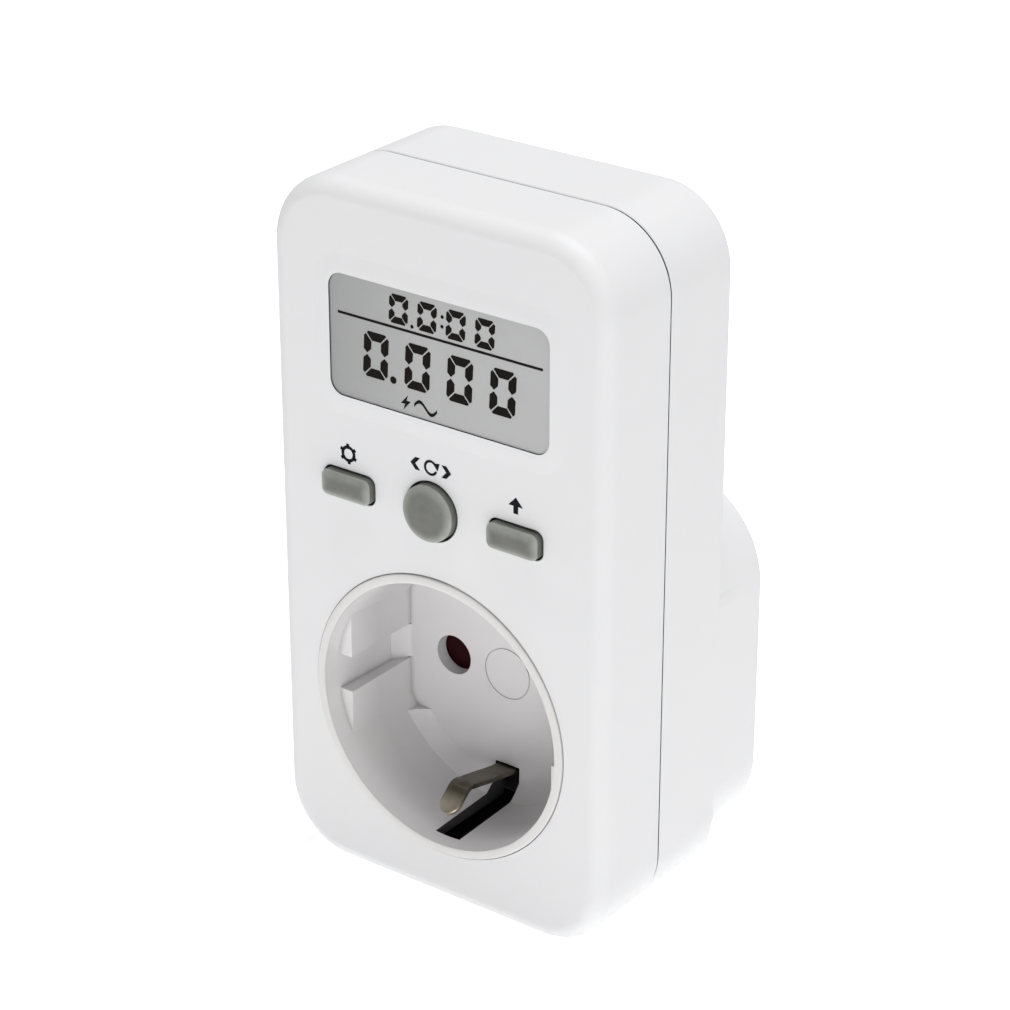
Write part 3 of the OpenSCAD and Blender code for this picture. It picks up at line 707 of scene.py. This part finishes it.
def shade_slots(well):
    """The cut faces of the clips' slots lie in the housing's shade, which is painted on them as a dark tone.
    """
    well.data.materials.append(MAT["painted_interior_shade"])
    near = 0.01
    side_x, low_z, start_y = SLOT_W / 2 + near, SLOT_Z - SLOT_H / 2 - near, RIM_Y + SLOT_START - near
    for face in well.data.polygons:
        corners = [well.data.vertices[i].co / MM for i in face.vertices]
        if all(abs(v.x) < side_x and abs(v.z) > low_z and v.y > start_y for v in corners):
            face.material_index = 1
    return well


def smooth_path(points, steps):
    """Points along a Catmull-Rom curve through the given ones."""
    fine = []
    last = len(points) - 1
    for i in range(last):
        p0, p1, p2, p3 = points[max(i - 1, 0)], points[i], points[i + 1], points[min(i + 2, last)]
        for k in range(steps):
            t = k / steps
            square = (2 * p0 - 5 * p1 + 4 * p2 - p3) * t * t
            cube = (3 * p1 - p0 - 3 * p2 + p3) * t ** 3
            fine.append(0.5 * ((2 * p1) + (p2 - p0) * t + square + cube))
    fine.append(points[-1])
    return fine


def make_earth_clip(name, node, body, side, bend_y, dip, tip_y, rise):
    """A strip that leaves the floor's slot, dips towards the axis and turns back out at its tip."""
    half_w, thick, root_z = 1.65, 0.8, 15.2
    edge = 0.14
    low_z = root_z - dip + 0.4
    path = [(FLOOR_BACK_Y + 0.4, root_z), (FLOOR_Y - 0.3, root_z), (bend_y + 1.6, low_z + 0.35),
            (bend_y + 0.5, low_z + 0.05), (bend_y - 0.4, low_z + 0.1), (bend_y - 1.2, low_z + 0.6),
            (tip_y + 1.0, root_z + rise - 0.45), (tip_y + 0.25, root_z + rise + 0.35)]
    fine = smooth_path([Vector(p) for p in path], 6)
    length = [0.0]
    for a, b in zip(fine, fine[1:]):
        length.append(length[-1] + (b - a).length)
    total = length[-1]
    bm = bmesh.new()
    rings = []
    for i, point in enumerate(fine):
        before, after = fine[max(i - 1, 0)], fine[min(i + 1, len(fine) - 1)]
        along = (after - before).normalized()
        across = Vector((-along.y, along.x))
        left = total - length[i]
        width = half_w if left > half_w else math.sqrt(max(half_w ** 2 - (half_w - left) ** 2, 0.09))
        h, w = thick / 2, width
        right = [(w - edge, -h), (w, -h + edge), (w, h - edge), (w - edge, h)]
        section = [(-w + edge, -h)] + right + [(-w + edge, h), (-w, h - edge), (-w, -h + edge)]
        ring = []
        for x, n in section:
            y, z = point.x + across.x * n, point.y + across.y * n
            ring.append(bm.verts.new((x * MM, y * MM, side * z * MM)))
        rings.append(ring)
    skin(bm, rings)
    return finish_piece(new_object(name, bm), MAT["nickel_silver"], body, [node], 50)


# ---------------------------------------------------------------- plug


def make_plug_base():
    """The round base with its flange, side grooves, earth grooves and dished pin bores."""
    stations = [(BOSS_Y - 2.1, 0), (-0.6, 0), (-0.25, 0.1), (0, 0.6)]
    base = loft("plug_base_moulding", [(y, circle_loop(PLUG_R - inset, steps=128)) for y, inset in stations])
    flange = prism("flange", circle_loop(PLUG_FLANGE_R, steps=128), BOSS_Y - 3.2, BOSS_Y - 2.0)
    boolean(base, [flange], "UNION")
    tools = []
    for s in (-1, 1):
        tools.append(prism("groove", rounded_loop(4.6, 5.2, 0.4, s * PLUG_R, 0, 4), BOSS_Y, 1))
        tools.append(prism("earth_groove", rounded_loop(6, 3.3, 0.4, 0, s * 16.95, 4), BOSS_Y - 5, 1))
        tools.append(prism("pin_bore", circle_loop(PIN_R, s * PIN_X, 0, 48), -20, 1))
        dish = ((-0.45, PIN_R), (0.05, PIN_R + 1), (1, PIN_R + 1))
        tools.append(loft("pin_dish", [(y, circle_loop(r, s * PIN_X, 0, 48)) for y, r in dish]))
    boolean(base, tools, "DIFFERENCE")
    return finish_piece(base, MAT["plug"], "housing", ["plug_base"])


def make_plug_pin(name, node, side):
    """A pin with its collar, rounded tip, flat tag and the leg that the wire is soldered to."""
    profile = [(-7.2, 0), (-7.2, 2.9), (-5.8, 2.9), (-5.7, PIN_R)]
    tip = ((2.0, 0), (1.5, 0.1), (0.9, 0.42), (0.4, 0.85), (0.1, 1.4), (0, 2.0))
    profile += [(PIN_END - back, PIN_R - inset) for back, inset in tip] + [(PIN_END, 0)]
    pin = lathe(name, profile, 64)
    pin.data.transform(Matrix.Translation((side * PIN_X * MM, 0, 0)))
    tag = prism("tag", rounded_loop(5.1, 3.8, 0.4, side * 12.05, 0, 4), -7.7, -7.1)
    leg = prism("leg", rounded_loop(0.5, 3.8, 0.1, side * 14.35, 0, 3), -15, -7.3)
    boolean(pin, [tag, leg], "UNION")
    return finish_piece(pin, MAT["nickel"], "housing", [node], 40)


def make_plug_earth_contact(name, node, side):
    """A flat bar on the base's side, tapered at its outer end."""
    start_y, end_y = (corner[1] for corner in box_mm(node))
    stations = [(start_y, 0), (end_y - 0.6, 0), (end_y - 0.15, 0.15), (end_y, 0.4)]
    centre = (0, side * EARTH_CONTACT_Z)
    contact = loft(name, [(y, rounded_loop(5 - 2 * inset, 0.8, 0.2, *centre, 4)) for y, inset in stations])
    return finish_piece(contact, MAT["nickel"], "housing", [node])


# ---------------------------------------------------------------- keys


def make_key(node, body):
    """A rubber key: domed edge, straight neck through the shell and a flange behind it."""
    low, high = box_mm(node)
    face_y = low[1]
    edge_w, edge_drop = 1.1, 0.5
    stations = [(face_y, edge_w + 0.3)]
    for i in range(11):
        a = math.radians(6 + 84 * i / 10)
        stations.append((face_y + edge_drop * (1 - math.cos(a)), edge_w * (1 - math.sin(a))))
    stations += [(face_y + edge_drop + step, 0.0) for step in (0.2, 0.4)]
    back_y = FRONT_Y + WALL + 0.3
    flange = [(back_y + 0.05, 0.0), (back_y + 0.05, -KEY_FLANGE), (back_y + 1.0, -KEY_FLANGE)]
    cap = loft(node + "_cap", [(y, key_loop(node, inset)) for y, inset in stations + flange])
    mark_edge_highlight(cap, face_y, edge_drop)
    neck = prism("neck", rounded_loop(5.2, 3.2, 0.6, *key_centre(node), 6), back_y + 0.5, high[1])
    boolean(cap, [neck], "UNION")
    return finish_piece(cap, MAT["rubber"], body, [node], 40)


def mark_edge_highlight(obj, face_y, edge_drop):
    """Stores where the rounded edge lies, for the painted highlight that makes the rubber's rim paler."""
    layer = obj.data.attributes.new("edge", "FLOAT", "POINT")
    for vertex, item in zip(obj.data.vertices, layer.data):
        down = (vertex.co.y / MM - face_y) / edge_drop
        item.value = 0.0 if down > 1.1 else min(1.0, max(0.0, down)) ** 0.4


# ---------------------------------------------------------------- display

DIGIT_SLANT = 0.055
DIGIT_ROWS = (
    {"x": -7.5, "z": 56.65, "pitch": 4.7, "width": 3.15, "height": 4.1, "stroke": 0.95, "space": 0.18},
    {"x": -12.0, "z": 48.0, "pitch": 6.97, "width": 4.15, "height": 6.5, "stroke": 1.25, "space": 0.24},
)


def digit_zero(place, x, z, pitch, width, height, stroke, space):
    """Six segments of a seven-segment zero, each an outline. The row's first lower left is x, z."""
    x += pitch * place
    w, h, t, g = width, height, stroke, space / 2
    c = t * 0.42
    top = [
        (c + g, h), (w - c - g, h), (w - c * 0.5 - g * 1.6, h - c * 0.45),
        (w - t - g * 0.8, h - t), (t + g * 0.8, h - t), (c * 0.5 + g * 1.6, h - c * 0.45)]
    side = [
        (0, h - c * 1.1 - g), (c * 0.55, h - c * 0.55 - g), (t, h - t - g * 1.4),
        (t, h / 2 + g + t * 0.5), (t * 0.5, h / 2 + g), (0, h / 2 + g + t * 0.42)]
    shapes = []
    for mirror_z in (False, True):
        for points in (top, side, [(w - a, b) for a, b in side]):
            if mirror_z:
                points = [(a, h - b) for a, b in points]
            shapes.append([(x + a + DIGIT_SLANT * b, z + b) for a, b in points])
    return shapes


def bar(x0, x1, z, thick):
    """A level bar centred on z."""
    return [(x0, z - thick / 2), (x1, z - thick / 2), (x1, z + thick / 2), (x0, z + thick / 2)]


def make_display():
    """The window with the display behind it, two rows of zeros, their points and the ruled line."""
    face_y = FRONT_Y + 0.06
    back_y = WINDOW_HIGH[1]
    stations = ((face_y, -0.05), (face_y + 0.05, -0.02), (back_y, -0.02))
    stations += ((back_y + 0.02, 1.8), (back_y + 1.98, 1.8))
    glass = loft("lcd_panel", [(y, window_loop(grow)) for y, grow in stations])
    finish_piece(glass, MAT["lcd"], "housing", ["lcd_glass", "display_window"])
    shapes = []
    for place in range(4):
        for row in DIGIT_ROWS:
            shapes += digit_zero(place, **row)
    points = ((-3.6, 56.85, 0.26), (1.4, 59.4, 0.25), (1.35, 58.05, 0.25), (-6.85, 48.5, 0.52))
    shapes += [circle_loop(radius, x, z, 20) for x, z, radius in points]
    shapes.append(bar(-16.1, 17.5, 56.05, 0.36))
    shapes += unit_symbol(-2.6, 45.8)
    ink = flat_shape("lcd_segments", shapes, face_y - 0.03, face_y + 0.02)
    finish_piece(ink, MAT["segment"], "housing")


def unit_symbol(cx, cz):
    """A small bolt and a wave, standing for the energy unit."""
    bolt = [(0.35, 1.1), (-0.8, -0.2), (-0.12, -0.2), (-0.4, -1.1), (0.8, 0.3), (0.12, 0.3)]
    shapes = [[(cx - 2.2 + x, cz + z) for x, z in bolt]]
    wave_up, wave_low = [], []
    for i in range(25):
        t = i / 24
        x = cx - 0.8 + 3.8 * t
        z = cz + 0.7 * math.sin(2 * math.pi * t)
        wave_up.append((x, z + 0.25))
        wave_low.append((x, z - 0.25))
    shapes.append(wave_low + wave_up[::-1])
    return shapes


def arc_band(cx, cz, radius, thick, start, end, steps=24):
    """A band along an arc, between two angles in degrees."""
    outer, inner = [], []
    for i in range(steps + 1):
        a = math.radians(start + (end - start) * i / steps)
        outer.append((cx + (radius + thick / 2) * math.cos(a), cz + (radius + thick / 2) * math.sin(a)))
        inner.append((cx + (radius - thick / 2) * math.cos(a), cz + (radius - thick / 2) * math.sin(a)))
    return outer + inner[::-1]


def chevron(cx, cz, size, side):
    """An arrowhead without a shaft, which points along X to the side given."""
    w, h = size * 0.45 * side, size / 2
    return [(cx - w, cz - h), (cx, cz - h), (cx + w, cz), (cx, cz + h), (cx - w, cz + h), (cx, cz)]


def make_labels():
    """Generic symbols above the keys, in place of words."""
    y0, y1 = FRONT_Y - 0.03, FRONT_Y + 0.01
    set_x, set_z = key_centre("set_key")
    mode_x, mode_z = key_centre("mode_key")
    up_x, up_z = key_centre("up_key")
    gear = []
    gear_x, gear_z = set_x - 0.1, set_z + 4.6
    for k in range(6):
        gear.append(arc_band(gear_x, gear_z, 0.98, 0.46, 60 * k + 4.2, 60 * k + 63.8, 6))
        a = math.radians(60 * k + 34)
        tooth = ((1.1, -0.22), (1.5, -0.17), (1.5, 0.17), (1.1, 0.22))
        gear.append([(gear_x + r * math.cos(a + d), gear_z + r * math.sin(a + d)) for r, d in tooth])
    cycle_z = mode_z + 6.4
    cycle = [arc_band(mode_x, cycle_z, 0.95, 0.36, 40, 340)]
    head = ((0.35, 0.75), (1.5, 0.95), (1.15, -0.2))
    cycle.append([(mode_x + x, cycle_z + z) for x, z in head])
    cycle += [chevron(mode_x - 2.6, cycle_z, 1.8, -1), chevron(mode_x + 2.6, cycle_z, 1.8, 1)]
    arrow_z = up_z + 4.8
    head = ((-1.15, -0.05), (1.15, -0.05), (0, 1.2))
    arrow = [[(up_x + x, arrow_z + z) for x, z in head], bar(up_x - 0.38, up_x + 0.38, arrow_z - 0.6, 1.1)]
    for name, shapes in (("set_symbol", gear), ("mode_symbol", cycle), ("up_symbol", arrow)):
        finish_piece(flat_shape(name, shapes, y0, y1), MAT["ink"], "housing")


# ---------------------------------------------------------------- carried-over CAD nodes

CARRIED = {
    # The shutter's near-black red is painted shade.
    "red": ["socket_shutter"],
    "ivory": ["shutter_cover", "contact_carrier", "lcd_holder"],
    "brass": ["live_contact", "neutral_contact", "key_contacts", "shunt"],
    "nickel_silver": ["earth_bridge"],
    "steel": ["shutter_spring", "crystal", "case_screws", "insert_screws", "cover_screws",
              "display_board_screws", "power_board_screws", "lcd_reflector"],
    "mat_rubber": ["keypad_mat"],
    "dark_rubber": ["contact_strip_upper", "contact_strip_lower", "set_pill", "mode_pill", "up_pill"],
    "board": ["display_board", "power_board"],
    "black": ["display_chip", "metering_chip", "rectifier_diodes", "board_resistors", "board_header"],
    "yellow": ["dropper_capacitor"],
    "navy": ["smoothing_capacitor"],
    "blue": ["varistor"],
    "pale_glass": ["fuse"],
    "green": ["backup_battery"],
    "grey_pvc": ["board_cable"],
    "brown_pvc": ["live_in_wire", "live_out_wire"],
    "blue_pvc": ["neutral_link_wire", "neutral_tap_wire"],
}


def dress_carried_nodes():
    """Gives the CAD nodes that are shown as they are their materials."""
    for name, nodes in CARRIED.items():
        for node in nodes:
            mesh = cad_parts[node].data
            mesh.materials.clear()
            mesh.materials.append(MAT[name])


# ---------------------------------------------------------------- stage

FLOOR_SIZE = 6
WORLD_STRENGTH = 0.22
LIGHTS = {
    "key_light": {"location": (0.81, -1.2, 0.03), "size": 0.7, "power": 7.1},
    "overhead_light": {"location": (0.06, 0.1, 1.5), "size": 0.9, "power": 20.8},
}
CAMERA_AZIMUTH = 36.85
CAMERA_ELEVATION = 25.25
CAMERA_DISTANCE = 418.9
CAMERA_TARGET = (6.56, FRONT_Y + 6.65, 31.63)
CAMERA_LENS = 112.2
SENSOR = 36.0


def make_camera():
    """The camera fitted to the photo's view of the rim and the housing's edges."""
    azimuth, elevation = math.radians(CAMERA_AZIMUTH), math.radians(CAMERA_ELEVATION)
    level = math.cos(elevation)
    back = Vector((math.sin(azimuth) * level, -math.cos(azimuth) * level, math.sin(elevation)))
    camera = bpy.data.objects.new("camera", bpy.data.cameras.new("camera"))
    bpy.context.scene.collection.objects.link(camera)
    camera.location = (Vector(CAMERA_TARGET) + back * CAMERA_DISTANCE) * MM
    camera.rotation_euler = back.to_track_quat("Z", "Y").to_euler()
    camera.data.lens = CAMERA_LENS
    camera.data.sensor_width = SENSOR
    camera.data.clip_start = 0.01
    camera.data.clip_end = 10
    bpy.context.scene.camera = camera


def make_light(name, location, target, size, power):
    """A round area light that faces its target."""
    light = bpy.data.lights.new(name, "AREA")
    light.shape = "DISK"
    light.size = size
    light.energy = power
    obj = bpy.data.objects.new(name, light)
    obj.location = location
    obj.rotation_euler = (Vector(location) - Vector(target)).to_track_quat("Z", "Y").to_euler()
    bpy.context.scene.collection.objects.link(obj)


def make_stage():
    """The pale floor just under the housing, an even world and two soft lights, in metres."""
    bpy.ops.mesh.primitive_plane_add(size=FLOOR_SIZE, location=(0, 0, SHELL_LOW[2] * MM - 0.0002))
    floor = bpy.context.object
    floor.name = "floor"
    floor.data.materials.append(MAT["floor"])
    world = bpy.data.worlds.new("world")
    world.use_nodes = True
    background = world.node_tree.nodes["Background"]
    background.inputs["Color"].default_value = (1, 1, 1, 1)
    background.inputs["Strength"].default_value = WORLD_STRENGTH
    bpy.context.scene.world = world
    for name, values in LIGHTS.items():
        make_light(name, target=(0, FRONT_Y * MM, 0.02), **values)
    bpy.context.scene.view_settings.view_transform = "Standard"


make_camera()
make_front_shell()
make_rear_shell()
make_socket_insert()
make_earth_clip("clip_upper_strip", "earth_clip_upper", "clip_upper", 1,
                bend_y=FRONT_Y + 9.6, dip=1.4, tip_y=FRONT_Y + 5.3, rise=1.4)
make_earth_clip("clip_lower_strip", "earth_clip_lower", "clip_lower", -1,
                bend_y=FRONT_Y + 5.5, dip=2.6, tip_y=FRONT_Y + 1.4, rise=0.4)
make_plug_base()
make_plug_pin("live_pin", "plug_pin_live", -1)
make_plug_pin("neutral_pin", "plug_pin_neutral", 1)
make_plug_earth_contact("plug_earth_upper", "plug_earth_contact_upper", 1)
make_plug_earth_contact("plug_earth_lower", "plug_earth_contact_lower", -1)
make_key("set_key", "set_button")
make_key("mode_key", "mode_button")
make_key("up_key", "up_button")
make_display()
make_labels()
dress_carried_nodes()
make_stage()
